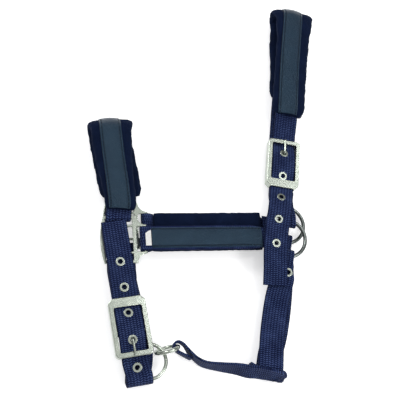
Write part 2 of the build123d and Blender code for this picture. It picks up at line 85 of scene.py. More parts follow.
def swung(route, across, shifts):
    """The route with each station moved sideways by its own shift."""
    return [(point + across * by, width) for (point, width), by in zip(route, shifts)]


def folded(near, fold, far):
    """Pad (width, shift) pairs: the near ones, 13 round the fold by way of its own, the far ones."""
    def between(a, b, share):
        return tuple(u + (v - u) * share for u, v in zip(a, b))
    rise = [between(near[-1], fold, i / 6) for i in range(6)]
    drop = [between(fold, far[0], i / 6) for i in range(7)]
    return near + rise + drop + far


POLL_PAD_SIZES = folded([(33, 1.2), (39, 1.8), (39, 2), (39, 2.9), (40, 3.2), (44, 3)], (54, 2.6),
                        [(44, 3), (39, 3), (39, 2.4), (33, 2)])
NOSE_PAD_SIZES = folded([(32, 1.4), (33, 1.4), (35, 1), (39, 0.5), (43, 0.8)], (50, 1.5),
                        [(46, 2.8), (46, 3), (45, 3), (40, 2.5)])
POLL_SWING = [-0.8, -1.1, -1.6, -2.9, -3.4] + [-3.4] * 15 + [-2.9, -2.2, -1.8]


def crown(*pairs, width=WEB_W):
    return along(CROWN_BAR, CROWN_DIR, pairs, width)


def chin(*pairs, width=WEB_W):
    return along(CHIN_BAR, CHIN_DIR, pairs, width)


def throat(*pairs, width=WEB_W, origin=THROAT_TOP):
    return along(origin, THROAT_DIR, pairs, width)


def at(x, y, z, width=WEB_W):
    return (Vector((x, y, z)), width)


def crown_side(point):
    return Vector((1, 0, 0)) if point.z < 10 and point.y < 10 else CROWN_ACROSS


def chin_side(point):
    return Vector((-1, 0, 0)) if point.y > -100 and point.z < 22 else -CHIN_ACROSS


def ring_loop(wire_top, out, tail, width=16):
    down = Vector((0, -1, 0))
    center = wire_top + down * 3.6
    start = UP * (LOOP_R * out)
    route = [(center - down * 8 + start, width + 1)] + arc(center, start, down * LOOP_R, width)
    return route + [(center - down * 8 - start, width + 1), (center - down * 20 + UP * tail, 23)]


def crown_free():
    route = [at(48.3, -117.5, 17.4), at(49.8, -100, 21), at(51.2, -84, 22.6), at(56, -59, 22.6),
             at(61.1, -40.3, 22.2), at(64.1, -29.7, 20.2), at(67.8, -16.8, 15.9)]
    route += crown((-31.5, 14.2), (-22.9, 14.2), (-11.5, 16.4), (3, 16.4), (14, 13.9),
                   (20, 12.8), (24.5, 12.7), (33, 13.6))
    return route + swung(crown((50, 19.2)), CROWN_ACROSS, [-0.6])


def poll_route():
    radius = (31 - PAD_FAR_Z) / 2
    center = CROWN_BAR + CROWN_DIR * 172 + UP * (PAD_FAR_Z + radius - CROWN_BAR.z)
    route = crown((53, 20), (62, 21.5), (75, 23), (110, 26.5), (150, 30), (162, 30.8))
    route += arc(center, UP * radius, CROWN_DIR * radius, steps=12)
    route += crown(*[(s, PAD_FAR_Z) for s in (150, 110, 90, 80)])
    return swung(route, CROWN_ACROSS, POLL_SWING)


def crown_far():
    route = swung(crown((74, 5.5), (60, 2.4), (-14, 2.4)), CROWN_ACROSS, [-1.5, -0.8, 0])
    return route + ring_loop(FAR_RING + Vector((2, RING_R, 0)), -1, 0.4)


def crown_chape():
    eye = BAR_R + 0.3 + WEB_T / 2
    route = crown((-29, 11.2), (-33, 11.3), (-42, 13.4))
    route += ring_loop(RING + Vector((3, RING_R, 0)), 1, 0)[:-1]
    route += crown((-44, 10.7), (-33, 8.8), (-20, 8.7), (-8, 8.4))
    route += arc(CROWN_BAR, -UP * eye, CROWN_DIR * eye)
    return route + crown((-8, 12.4), (-20, 11.2), (-28, 11.2))


def chin_strap():
    route = chin((-108, 23.4), (-100, 23.8), (-57, 23.8), (-48, 23.4), (-37.5, 22.4), (-33, 21.3),
                 (-22.2, 21.2), (-11, 23.3), (3, 23.3), (14, 20.9), (20, 19.8), (24.5, 19.7),
                 (28, 18.6))
    route += [(CHIN_BAR + CHIN_DIR * 39 + CHIN_ACROSS * 1.8 - UP * 3, WEB_W)]
    fold = CHIN_BAR + CHIN_DIR * 42.5 + CHIN_ACROSS * 2.2 + UP * (LEAD_Z - CHIN_BAR.z)
    route += arc(fold, UP * 6.2, CHIN_DIR * 6.2)
    route += [at(-87.5, -192, 2.5, 17), at(-86.5, -181, 12.6, 16), at(-87.5, -172, 12.6, 17),
              at(-92, -158, 11.5, 23), at(-96, -135, 7), at(-101, -105, 2.4)]
    bar = FAR_SQUARE - Vector((0, SQUARE_BAR, 0))
    route += [(bar + Vector((0, -8, -LOOP_R)), WEB_W)]
    route += arc(bar + Vector((0, 0.6, 0)), -UP * LOOP_R, Vector((0, LOOP_R, 0)))
    return route + [(bar + Vector((0, -8, LOOP_R)), WEB_W), (bar + Vector((0.3, -22, 0.6)), WEB_W),
                    (bar + Vector((0.8, -32, 0.3)), WEB_W)]


def chin_chape():
    eye = BAR_R + 0.3 + WEB_T / 2
    bar = SQUARE - Vector((0, SQUARE_BAR - 0.6, 0))
    route = chin((-29, 18.8), (-33, 18.7), (-45, 19.5), (-60, SQUARE.z + LOOP_R))
    route += arc(bar, UP * LOOP_R, Vector((0, LOOP_R, 0)))
    route += chin((-60, SQUARE.z - LOOP_R), (-45, 15.2), (-33, 16.2), (-20, 16.1), (-8, 15.5))
    route += arc(CHIN_BAR, -UP * eye, CHIN_DIR * eye)
    return route + chin((-8, 19.6), (-20, 18.6), (-28, 18.7))


def nose_near(y, z):
    return at(SQUARE.x + 0.5 - 0.073 * (y + 44), y, z)


def nose_far(y, z):
    top_x = nose_near(44, 0)[0].x
    share = (y - FAR_SQUARE.y - SQUARE_BAR) / (44 - FAR_SQUARE.y - SQUARE_BAR)
    return at(FAR_SQUARE.x + (top_x - FAR_SQUARE.x) * share, y, z)


def nose_route():
    radius = (31 - PAD_FAR_Z) / 2
    center = Vector((nose_near(44, 0)[0].x, 44, PAD_FAR_Z + radius))
    route = [nose_near(y, z) for y, z in ((-38, 20.4), (-30, 21), (-10, 24), (15, 27.5), (34, 30.4))]
    route = swung(route, Vector((1, 0, 0)), [0.8, 1.8, 1.5, 0.5, 0])
    route += arc(center, UP * radius, Vector((0, radius, 0)), steps=12)
    return route + [nose_far(y, PAD_FAR_Z) for y in (30, 0, -12, -19)]


def nose_strap():
    down = Vector((0, -LOOP_R, 0))
    near, far = SQUARE.y + SQUARE_BAR, FAR_SQUARE.y + SQUARE_BAR
    route = [nose_near(near + 6, SQUARE.z - LOOP_R)]
    route += arc(Vector((SQUARE.x, near - 0.6, SQUARE.z)), -UP * LOOP_R, down)
    route += nose_route()
    route += arc(Vector((FAR_SQUARE.x, far - 0.6, FAR_SQUARE.z)), UP * LOOP_R, down)
    return route + [nose_far(far + 5, FAR_SQUARE.z - LOOP_R)]


def throat_strap():
    back = -THROAT_DIR * LOOP_R
    route = throat((26, 11.9), (16, 11.7), width=22) + throat((5, RING.z - LOOP_R), width=16)
    route += arc(THROAT_TOP - THROAT_DIR * 4 + UP * RING.z, -UP * LOOP_R, back, 16)
    route += throat((5, RING.z + LOOP_R), width=16) + throat((10, 16.8), width=19)
    upper = throat((24, 15.3), (45, 13.5), (75, 14.5), (98, 18))
    route += swung(upper, THROAT_ACROSS, [-0.5, -2.5, -3, -2.5])
    fold = arc(THROAT_TOP + THROAT_DIR * 111.7 + UP * 10.7, UP * 8.3, THROAT_DIR * 8.3)
    route += swung(fold, THROAT_ACROSS, [0.3 * i - 1.4 for i in range(9)])
    far = {"origin": THROAT_FAR_TOP}
    lower = throat((118, 2.4), (95, 2.4), (60, 2.4), (30, 2.4), **far)
    route += swung(lower, THROAT_ACROSS, [2.5, 5, 5, 2.5]) + throat((16, 1.8), width=20, **far)
    route += throat((5, FAR_RING.z - LOOP_R), width=16, **far)
    route += arc(THROAT_FAR_TOP - THROAT_DIR * 5.5 + UP * FAR_RING.z, -UP * LOOP_R, back, 16)
    route += throat((5, FAR_RING.z + LOOP_R), width=16, **far)
    return route + throat((18, 4.9), (34, 4.9), width=22, **far)


def cheek_webbing(square, ring, out):
    near = out > 0
    bar_x, ring_x, y = square.x + CHEEK_BAR, ring.x - RING_R, square.y
    run_z = square.z + LOOP_R if near else 2.7
    tail_z = run_z - out * (WEB_T + GAP)
    end_z = ring.z + out * LOOP_R + (1.0 if near else 0.7)
    side = UP * (LOOP_R * out)
    route = [at(bar_x + 7.5, y, tail_z), at(bar_x + 3.5, y, square.z - out * 3)]
    route += arc(Vector((bar_x, y, square.z)), -side, Vector((-LOOP_R, 0, 0)))
    route += [at(bar_x + 12, y, run_z), at(ring_x - 22, y, run_z), at(ring_x - 9, y, end_z, 22)]
    route += [at(ring_x - 3, y, ring.z + out * LOOP_R, 17)]
    route += arc(Vector((ring_x + 2.4, y, ring.z)), side, Vector((LOOP_R, 0, 0)), 15)
    under = ring.z - out * LOOP_R
    return route + [at(ring_x - 3.5, y, under, 17), at(ring_x - 6, y, under, 18)]


def connector_strap():
    ahead, aside = Vector((0.77, -0.64, 0)), Vector((0.64, 0.77, 0))
    wire = CONNECTOR + Vector((0.97, 0.245, 0)) * 11.2
    turn = 1.8 + 1.4 + WEB_T / 2
    low = UP * (10.8 - CONNECTOR.z)
    route = [(wire - aside * 1.6 + ahead * 17 + low * 0.5, 12), (wire - aside * turn + ahead * 4, 8)]
    route += arc(wire, -aside * turn, -ahead * turn, 7)
    route += [(wire + aside * turn + ahead * 4, 8), (wire + aside * 1.4 + ahead * 17 + low, 17)]
    route += [at(-30, -190, 10.8, 20), at(-13, -194, 11.2, 20), at(3, -197, 12.5, 20), at(13, -200, 14, 20)]
    outer, inner = CONNECTOR_FOLD + THROAT_DIR * 9.9 + UP * 4.8, CONNECTOR_FOLD + THROAT_DIR * 3.7
    route += [(outer - THROAT_ACROSS * 12, 19), (outer + THROAT_ACROSS * 9, 17)]
    middle = CONNECTOR_FOLD + THROAT_DIR * 7.3 + THROAT_ACROSS * 12.6
    route += arc(middle, THROAT_DIR * 3.6, THROAT_ACROSS * 3.6, 9.4)
    return route + [(inner - THROAT_ACROSS * 14, 9.4), (inner - THROAT_DIR * 1.5 - THROAT_ACROSS * 20, 9.4)]


def connector_side(point):
    outside = point.x < 15 or (point - CONNECTOR_FOLD).dot(THROAT_DIR) > 9
    lean = radians(25 * min(1.0, max(0.0, (point.x + 38) / 50))) if outside else 0
    return UP * cos(lean) - THROAT_DIR * sin(lean)


# ---------------------------------------------------------------- smooth bands
def dense(route, step=1.5):
    """The route as closely spaced smooth stations."""
    found, last = [], len(route) - 1
    for i in range(last):
        (p0, _), (p1, w1), (p2, w2), (p3, _) = (route[max(0, min(last, i + k))] for k in (-1, 0, 1, 2))
        reach = (p2 - p1).length
        m1, m2 = (p2 - p0).normalized() * reach, (p3 - p1).normalized() * reach
        count = max(1, round(reach / step))
        for t in (k / count for k in range(count)):
            point = (p1 * (2 * t ** 3 - 3 * t ** 2 + 1) + m1 * (t ** 3 - 2 * t ** 2 + t)
                     + p2 * (3 * t ** 2 - 2 * t ** 3) + m2 * (t ** 3 - t ** 2))
            found.append((point, w1 + (w2 - w1) * (3 * t ** 2 - 2 * t ** 3)))
    return found + [route[-1]]


def frames(stations, across):
    """(point, ahead, side, normal) at each station."""
    points, found = [p for p, _ in stations], []
    for i, point in enumerate(points):
        ahead = (points[min(i + 1, len(points) - 1)] - points[max(i - 1, 0)]).normalized()
        wanted = across(point) if callable(across) else across
        side = (wanted - ahead * wanted.dot(ahead)).normalized()
        found.append((point, ahead, side, side.cross(ahead)))
    return found


def to_row(point):
    return (point - ORIGIN) / 1000


TOP = [(-1, 0.3), (-0.985, 0.75), (-0.95, 1), (-0.7, 1), (-0.4, 1), (0, 1), (0.4, 1), (0.7, 1),
       (0.95, 1), (0.985, 0.75), (1, 0.3)]
FLAT = TOP + [(x, -y) for x, y in reversed(TOP)]
ROUND = [(cos(2 * pi * i / 28), sin(2 * pi * i / 28)) for i in range(28)]
ROUND = [(abs(x) ** 0.6 * (1 if x > 0 else -1), abs(y) ** 0.75 * (1 if y > 0 else -1)) for x, y in ROUND]


def smooth_edges(obj, angle=40):
    for face in obj.data.polygons:
        face.use_smooth = True
    obj.data.set_sharp_from_angle(angle=radians(angle))


def new_object(name, verts, faces, uvs=None):
    mesh = bpy.data.meshes.new(name)
    mesh.from_pydata(verts, [], faces)
    if uvs:
        layer = mesh.uv_layers.new(name="cloth")
        for loop in mesh.loops:
            layer.data[loop.index].uv = uvs[loop.vertex_index]
    mesh.update()
    obj = bpy.data.objects.new(name, mesh)
    bpy.context.scene.collection.objects.link(obj)
    return obj


def band(name, route, across, thickness=WEB_T, width=None, lift=0.0, profile=FLAT, step=1.5, sag=0.0):
    """A strap, strip or pad with its texture laid along it, in mm."""
    stations = dense(route, step)
    verts, uvs, faces, run = [], [], [], 0.0
    count, last = len(profile), len(stations) - 1
    for i, ((point, own), (_, ahead, side, normal)) in enumerate(zip(stations, frames(stations, across))):
        run += (point - stations[max(i - 1, 0)][0]).length
        wide = own if width is None else width
        thick = thickness(i / last) if callable(thickness) else thickness
        for x, y in profile:
            drop = sag * x * x
            verts.append(to_row(point + side * (x * wide / 2) + normal * (y * thick / 2 + lift - drop)))
            uvs.append((x * wide / 2, run))
    for i in range(last):
        for k in range(count):
            a, b = i * count + k, i * count + (k + 1) % count
            faces.append((a, b, b + count, a + count))
    faces.append(tuple(range(count)))
    faces.append(tuple(last * count + k for k in reversed(range(count))))
    obj = new_object(name, verts, faces, uvs)
    smooth_edges(obj)
    return obj


STITCH_LENGTH, STITCH_PITCH = 2.3, 3.4
STITCH_SIDES = 6
STITCH_RADII = ((-1, 0.12), (-0.75, 0.32), (0, 0.4), (0.75, 0.32), (1, 0.12))
STITCH_DIP = 0.28                              # how far a stitch's ends sink into the leather


def stitch_places(marks, offset, ends):
    """(middle, ahead, side, normal) of each stitch: a row near each edge, and one across each end."""
    total = sum((b[0] - a[0]).length for a, b in zip(marks, marks[1:]))
    wanted = [ends[0] + STITCH_PITCH * i for i in range(int((total - sum(ends)) / STITCH_PITCH) + 1)]
    places, run = [], 0.0
    for (before, *_), (point, ahead, side, normal) in zip(marks, marks[1:]):
        run += (point - before).length
        if wanted and run >= wanted[0]:
            wanted.pop(0)
            at_an_end = not places or not wanted
            places += [(point + side * by, ahead, side, normal) for by in (-offset, offset)]
            if at_an_end:
                count = int(2 * offset / STITCH_PITCH)
                for k in range(1, count):
                    by = -offset + 2 * offset * k / count
                    places.append((point + side * by, side, -ahead, normal))
    return places


def stitches(name, route, across, lift, offset, ends=(4, 4)):
    """Raised stitches on a strip, each a short thread with both ends pulled in."""
    verts, faces = [], []
    ring = [(cos(2 * pi * k / STITCH_SIDES), sin(2 * pi * k / STITCH_SIDES)) for k in range(STITCH_SIDES)]
    for middle, ahead, side, normal in stitch_places(frames(dense(route, 0.4), across), offset, ends):
        center = middle + normal * lift
        base = len(verts)
        for t, r in STITCH_RADII:
            for c, s in ring:
                low = -STITCH_DIP * abs(t) ** 2
                spot = center + ahead * (t * STITCH_LENGTH / 2) + side * (c * r) + normal * (s * r + low)
                verts.append(to_row(spot))
        for j in range(len(STITCH_RADII) - 1):
            for k in range(STITCH_SIDES):
                a, b = base + j * STITCH_SIDES + k, base + j * STITCH_SIDES + (k + 1) % STITCH_SIDES
                faces.append((a, b, b + STITCH_SIDES, a + STITCH_SIDES))
        tip = base + (len(STITCH_RADII) - 1) * STITCH_SIDES
        faces.append(tuple(base + k for k in reversed(range(STITCH_SIDES))))
        faces.append(tuple(tip + k for k in range(STITCH_SIDES)))
    obj = new_object(name, verts, faces)
    smooth_edges(obj, 80)
    return obj


# ---------------------------------------------------------------- materials
def new_material(name):
    material = bpy.data.materials.new(name)
    material.use_nodes = True
    tree = material.node_tree
    return material, tree, tree.nodes["Principled BSDF"]


def node(tree, kind, links=(), **values):
    """A node with its settings, and (input, socket) links."""
    made = tree.nodes.new(kind)
    for key, value in values.items():
        if key in made.inputs:
            made.inputs[key].default_value = value
        else:
            setattr(made, key, value)
    for key, socket in links:
        tree.links.new(socket, made.inputs[key])
    return made


def mapped(tree, source, scale):
    coords = node(tree, "ShaderNodeTexCoord")
    made = node(tree, "ShaderNodeMapping", [("Vector", coords.outputs[source])], Scale=scale)
    return made.outputs["Vector"]


def noise_of(tree, vector, scale, detail=4.0, rough=0.6):
    return node(tree, "ShaderNodeTexNoise", [("Vector", vector)], Scale=scale, Detail=detail, Roughness=rough)


def ramp(tree, socket, stops):
    made = node(tree, "ShaderNodeValToRGB", [("Fac", socket)])
    elements = made.color_ramp.elements
    while len(elements) < len(stops):
        elements.new(0.5)
    for element, (place, colour) in zip(elements, stops):
        element.position = place
        element.color = (*colour, 1)
    return made.outputs["Color"]


def maths(tree, operation, a, b):
    made = node(tree, "ShaderNodeMath", operation=operation)
    for slot, value in zip(made.inputs, (a, b)):
        if isinstance(value, (int, float)):
            slot.default_value = value
        else:
            tree.links.new(value, slot)
    return made.outputs[0]


def bump(tree, shader, height, distance, strength=1.0):
    made = node(tree, "ShaderNodeBump", [("Height", height)], Strength=strength, Distance=distance)
    tree.links.new(made.outputs["Normal"], shader.inputs["Normal"])
    return made


def webbing_material():
    """Nylon webbing: chevron ribs in columns, with a painted highlight on the rib tops and painted shade in
    the gaps between the columns.
    """
    material, tree, shader = new_material("webbing")
    cloth = mapped(tree, "UV", (1, 1, 1))
    split = node(tree, "ShaderNodeSeparateXYZ", [("Vector", cloth)])
    across, run = split.outputs["X"], split.outputs["Y"]
    wobble = noise_of(tree, cloth, 0.3, 2.0)
    slant = maths(tree, "MULTIPLY", maths(tree, "PINGPONG", across, 3.0), 0.45)
    uneven = maths(tree, "MULTIPLY", wobble.outputs["Fac"], 0.8)
    place = maths(tree, "ADD", maths(tree, "ADD", run, slant), uneven)
    ribs = maths(tree, "SINE", maths(tree, "MULTIPLY", place, 3.3), 0)
    ribs = maths(tree, "ADD", maths(tree, "MULTIPLY", ribs, 0.5), 0.5)
    column = maths(tree, "ABSOLUTE", maths(tree, "SINE", maths(tree, "MULTIPLY", across, 1.047), 0), 0)
    column = maths(tree, "POWER", column, 0.5)
    weave = maths(tree, "MULTIPLY", ribs, column)
    fuzz = noise_of(tree, cloth, 2.2, 6.0, 0.7)
    height = maths(tree, "ADD", weave, maths(tree, "MULTIPLY", fuzz.outputs["Fac"], 0.35))
    broad = noise_of(tree, cloth, 0.06, 3.0)
    worn = maths(tree, "MULTIPLY", maths(tree, "POWER", broad.outputs["Fac"], 2), 0.5)
    # The colour follows the weave's height. The rib tops get a painted highlight, and the gaps between ribs
    # and between columns get painted shade. The fuzz and the broad patches add random tone.
    painted_weave_shade_and_tone = maths(tree, "ADD", maths(tree, "MULTIPLY", height, 0.6), worn)
    colour = ramp(tree, painted_weave_shade_and_tone, [(0.2, (0.002, 0.003, 0.016)), (0.5, (0.011, 0.019, 0.064)),
                                (0.85, (0.060, 0.090, 0.210))])
    tree.links.new(colour, shader.inputs["Base Color"])
    rough = maths(tree, "ADD", maths(tree, "MULTIPLY", fuzz.outputs["Fac"], 0.25), 0.5)
    tree.links.new(rough, shader.inputs["Roughness"])
    shader.inputs["Specular IOR Level"].default_value = 0.08
    shader.inputs["Specular Tint"].default_value = (0.4, 0.5, 1, 1)
    shader.inputs["Sheen Weight"].default_value = 0.02
    shader.inputs["Sheen Tint"].default_value = (0.3, 0.4, 0.9, 1)
    bump(tree, shader, height, 0.0006, 0.9)
    return material


def leather_material():
    """Leather-look strip: pebbled grain and a stitch groove darkened in dashes, which is the dark of the
    thread plus painted shade. It also has a painted highlight along the border outside the stitching, and
    dark edge paint.
    """
    material, tree, shader = new_material("leather")
    cloth = mapped(tree, "UV", (1, 1, 1))
    split = node(tree, "ShaderNodeSeparateXYZ", [("Vector", cloth)])
    grain = node(tree, "ShaderNodeTexVoronoi", [("Vector", cloth)], Scale=1.1, Randomness=1.0)
    fine = noise_of(tree, cloth, 2.2, 5.0)
    broad = noise_of(tree, cloth, 0.05, 3.0)
    side = maths(tree, "ABSOLUTE", split.outputs["X"], 0)
    edge = maths(tree, "POWER", maths(tree, "DIVIDE", side, 10.9), 40)
    # The stitch groove is darkened in dashes under the stitch rows. This is the dark of the thread plus
    # painted shade in the groove.
    groove = maths(tree, "LESS_THAN", maths(tree, "ABSOLUTE", maths(tree, "SUBTRACT", side, 8.8), 0), 0.65)
    dash = maths(tree, "GREATER_THAN", maths(tree, "PINGPONG", split.outputs["Y"], 1.7), 0.45)
    groove = maths(tree, "MULTIPLY", groove, dash)
    # A painted highlight: the border outside the stitch rows is made lighter.
    painted_border_highlight = maths(tree, "MULTIPLY", maths(tree, "GREATER_THAN", side, 9.5), 0.3)
    tone = maths(tree, "SUBTRACT", maths(tree, "ADD", maths(tree, "MULTIPLY", broad.outputs["Fac"], 0.6),
                                         maths(tree, "MULTIPLY", fine.outputs["Fac"], 0.25)), edge)
    tone = maths(tree, "SUBTRACT", maths(tree, "ADD", tone, painted_border_highlight), maths(tree, "MULTIPLY", groove, 1.0))
    colour = ramp(tree, tone, [(0.0, (0.001, 0.002, 0.005)), (0.3, (0.003, 0.009, 0.022)),
                               (0.8, (0.008, 0.024, 0.048))])
    tree.links.new(colour, shader.inputs["Base Color"])
    rough = maths(tree, "ADD", maths(tree, "MULTIPLY", fine.outputs["Fac"], 0.16), 0.22)
    rough = maths(tree, "ADD", rough, maths(tree, "MULTIPLY", groove, 0.5))
    tree.links.new(rough, shader.inputs["Roughness"])
    shader.inputs["Specular IOR Level"].default_value = 0.48
    shader.inputs["Specular Tint"].default_value = (0.5, 0.78, 1, 1)
    height = maths(tree, "ADD", grain.outputs["Distance"], maths(tree, "MULTIPLY", fine.outputs["Fac"], 0.5))
    height = maths(tree, "SUBTRACT", height, maths(tree, "MULTIPLY", groove, 1.5))
    bump(tree, shader, height, 0.0005, 0.9)
    return material


def plush_material():
    """Short dense pile: very dark, matt, with a soft bloom at grazing angles."""
    material, tree, shader = new_material("plush")
    place = mapped(tree, "Object", (1000, 1000, 1000))
    pile = noise_of(tree, place, 1.1, 6.0, 0.75)
    patches = noise_of(tree, place, 0.07, 3.0)
    tone = maths(tree, "ADD", maths(tree, "MULTIPLY", pile.outputs["Fac"], 0.6),
                 maths(tree, "MULTIPLY", patches.outputs["Fac"], 0.4))
    colour = ramp(tree, tone, [(0.25, (0.001, 0.003, 0.012)), (0.55, (0.004, 0.009, 0.030)),
                               (0.85, (0.011, 0.020, 0.060))])
    tree.links.new(colour, shader.inputs["Base Color"])
    shader.inputs["Roughness"].default_value = 0.95
    shader.inputs["Specular IOR Level"].default_value = 0.05
    shader.inputs["Sheen Weight"].default_value = 0.05
    shader.inputs["Sheen Roughness"].default_value = 0.5
    shader.inputs["Sheen Tint"].default_value = (0.35, 0.45, 0.75, 1)
    bump(tree, shader, pile.outputs["Fac"], 0.0012, 0.8)
    return material


def metal_material(name, colour, dark, rough, scratch):
    """Plated metal: slight cloudiness, fine scratches and dulled patches."""
    material, tree, shader = new_material(name)
    place = mapped(tree, "Object", (1000, 1000, 1000))
    cloud = noise_of(tree, place, 0.12, 4.0)
    fine = noise_of(tree, mapped(tree, "Object", (3000, 350, 900)), 1.0, 5.0)
    tone = ramp(tree, cloud.outputs["Fac"], [(0.3, dark), (0.65, colour)])
    tree.links.new(tone, shader.inputs["Base Color"])
    shader.inputs["Metallic"].default_value = 1.0
    value = maths(tree, "ADD", maths(tree, "MULTIPLY", fine.outputs["Fac"], scratch), rough)
    tree.links.new(value, shader.inputs["Roughness"])
    bump(tree, shader, fine.outputs["Fac"], 0.00004, 0.2)
    return material


def thread_material():
    """Dark sewing thread with a slight twist."""
    material, tree, shader = new_material("thread")
    place = mapped(tree, "Object", (1000, 1000, 1000))
    twist = noise_of(tree, place, 2.5, 2.0)
    colour = ramp(tree, twist.outputs["Fac"], [(0.3, (0.004, 0.007, 0.020)), (0.7, (0.016, 0.028, 0.060))])
    tree.links.new(colour, shader.inputs["Base Color"])
    shader.inputs["Roughness"].default_value = 0.55
    shader.inputs["Specular IOR Level"].default_value = 0.1
    bump(tree, shader, twist.outputs["Fac"], 0.0002, 0.6)
    return material


def label_material():
    """White woven tape, a plain weave."""
    material, tree, shader = new_material("label")
    cloth = mapped(tree, "Object", (1000, 1000, 1000))
    split = node(tree, "ShaderNodeSeparateXYZ", [("Vector", cloth)])
    warp = maths(tree, "SINE", maths(tree, "MULTIPLY", split.outputs["X"], 9), 0)
    weft = maths(tree, "SINE", maths(tree, "MULTIPLY", split.outputs["Y"], 9), 0)
    grid = maths(tree, "MULTIPLY", warp, weft)
    tone = maths(tree, "ADD", maths(tree, "MULTIPLY", grid, 0.15), noise_of(tree, cloth, 0.5).outputs["Fac"])
    colour = ramp(tree, tone, [(0.2, (0.62, 0.62, 0.60)), (0.8, (0.84, 0.84, 0.82))])
    tree.links.new(colour, shader.inputs["Base Color"])
    shader.inputs["Roughness"].default_value = 0.75
    bump(tree, shader, grid, 0.0001, 0.5)
    return material


WEBBING, LEATHER, PLUSH = webbing_material(), leather_material(), plush_material()
NICKEL = metal_material("nickel", (0.46, 0.50, 0.44), (0.38, 0.42, 0.37), 0.17, 0.12)
WIRE = metal_material("ring_wire", (0.17, 0.19, 0.18), (0.08, 0.09, 0.09), 0.18, 0.12)
THREAD, LABEL = thread_material(), label_material()


def dress(obj, material, slot, *replaced):
    """Material, body, material slot name (not used), and the CAD nodes that the piece stands for."""
    obj.data.materials.clear()
    obj.data.materials.append(material)
    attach(obj, ROOT)
    if replaced:
        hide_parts(*replaced)
    return obj


# ---------------------------------------------------------------- straps
EYELET_HOLE_R, EYELET_SPACING = 0.0031, 0.004     # metres, as the meshes are


def cut_holes(strap, centres):
    """Holes through a strap where its eyelets sit."""
    for centre, radius in centres:
        bpy.ops.mesh.primitive_cylinder_add(vertices=24, radius=radius, depth=0.006, location=centre)
        cutter = bpy.context.object
        change = strap.modifiers.new("hole", "BOOLEAN")
        change.operation, change.solver, change.object = "DIFFERENCE", "EXACT", cutter
        with bpy.context.temp_override(object=strap):
            bpy.ops.object.modifier_apply(modifier="hole")
        bpy.data.objects.remove(cutter)


def eyelet_centres(name):
    """(centre, hole radius) of each separate eyelet of a node."""
    points = sorted((v.co.copy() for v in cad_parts[name].data.vertices), key=lambda p: p.y)
    groups = [[points[0]]]
    for point in points[1:]:
        if point.y - groups[-1][-1].y > EYELET_SPACING:
            groups.append([])
        groups[-1].append(point)
    found = []
    for group in groups:
        low = [min(p[k] for p in group) for k in range(3)]
        high = [max(p[k] for p in group) for k in range(3)]
        found.append((Vector((a + b) / 2 for a, b in zip(low, high)), EYELET_HOLE_R))
    return found


def straps():
    crown_strap = band("crown_webbing", crown_free() + poll_route() + crown_far(), crown_side)
    cut_holes(crown_strap, eyelet_centres("crown_eyelets"))
    dress(crown_strap, WEBBING, "webbing", "crown_strap")
    strap = band("chin_webbing", chin_strap(), chin_side)
    cut_holes(strap, eyelet_centres("chin_eyelets"))
    dress(strap, WEBBING, "webbing", "chin_strap")
    strap = band("throat_webbing", throat_strap(), -THROAT_ACROSS)
    cut_holes(strap, eyelet_centres("throat_eyelet"))
    dress(strap, WEBBING, "webbing", "throat_strap")
    dress(band("nose_webbing", nose_strap(), NOSE_ACROSS), WEBBING, "webbing", "nose_strap")
    dress(band("crown_chape_webbing", crown_chape(), -CROWN_ACROSS), WEBBING, "webbing", "crown_chape")
    flipped = band("chin_chape_webbing", chin_chape(), lambda point: -chin_side(point))
    dress(flipped, WEBBING, "webbing", "chin_chape")
    dress(band("connector_webbing", connector_strap(), connector_side), WEBBING, "webbing", "connector_strap")
    for side, square, ring, out in (("near", SQUARE, RING, 1), ("far", FAR_SQUARE, FAR_RING, -1)):
        strap = band(f"{side}_cheek_band", cheek_webbing(square, ring, out), Vector((0, 1, 0)) * out)
        dress(strap, WEBBING, "webbing", f"{side}_cheek_webbing")


# ---------------------------------------------------------------- pads
VOXEL = 0.0028                                 # metres, for the cloth mesh
SIM_FRAMES = 20


def inflate(pad, held, cap=1.6):
    """Cloth simulation of a stuffed sleeve: it swells where nothing is stitched over it."""
    change = pad.modifiers.new("remesh", "REMESH")
    change.mode, change.voxel_size = "VOXEL", VOXEL
    bpy.context.view_layer.objects.active = pad
    bpy.ops.object.modifier_apply(modifier="remesh")
    rest = [v.co.copy() for v in pad.data.vertices]
    pinned = pad.vertex_groups.new(name="held")
    for i, point in enumerate(rest):
        if held(point):
            pinned.add([i], 1.0, "REPLACE")
    cloth = pad.modifiers.new("cloth", "CLOTH")
    cloth.settings.quality = 6
    cloth.settings.mass = 0.2
    cloth.settings.tension_stiffness = 12
    cloth.settings.compression_stiffness = 12
    cloth.settings.bending_stiffness = 0.4
    cloth.settings.use_pressure = True
    cloth.settings.uniform_pressure_force = 4
    cloth.settings.effector_weights.gravity = 0
    cloth.settings.vertex_group_mass = "held"
    cloth.collision_settings.use_collision = False
    cloth.point_cache.frame_end = SIM_FRAMES
    for number in range(1, SIM_FRAMES + 1):
        bpy.context.scene.frame_set(number)
    shaped = pad.evaluated_get(bpy.context.evaluated_depsgraph_get()).data
    moved = [v.co.copy() for v in shaped.vertices]
    pad.modifiers.remove(cloth)
    bpy.context.scene.frame_set(1)
    for vertex, new, old in zip(pad.data.vertices, moved, rest):
        step = new - old
        limit = cap / 1000
        vertex.co = old + (step if step.length < limit else step.normalized() * limit)
    pad.modifiers.new("finer", "SUBSURF").levels = 1
    pad.modifiers["finer"].render_levels = 1
    ripple = pad.modifiers.new("pile", "DISPLACE")
    texture = bpy.data.textures.new(f"{pad.name}_pile", "CLOUDS")
    texture.noise_scale = 0.0035
    ripple.texture, ripple.strength, ripple.mid_level = texture, 0.0009, 0.5
    smooth_edges(pad, 180)
    return pad


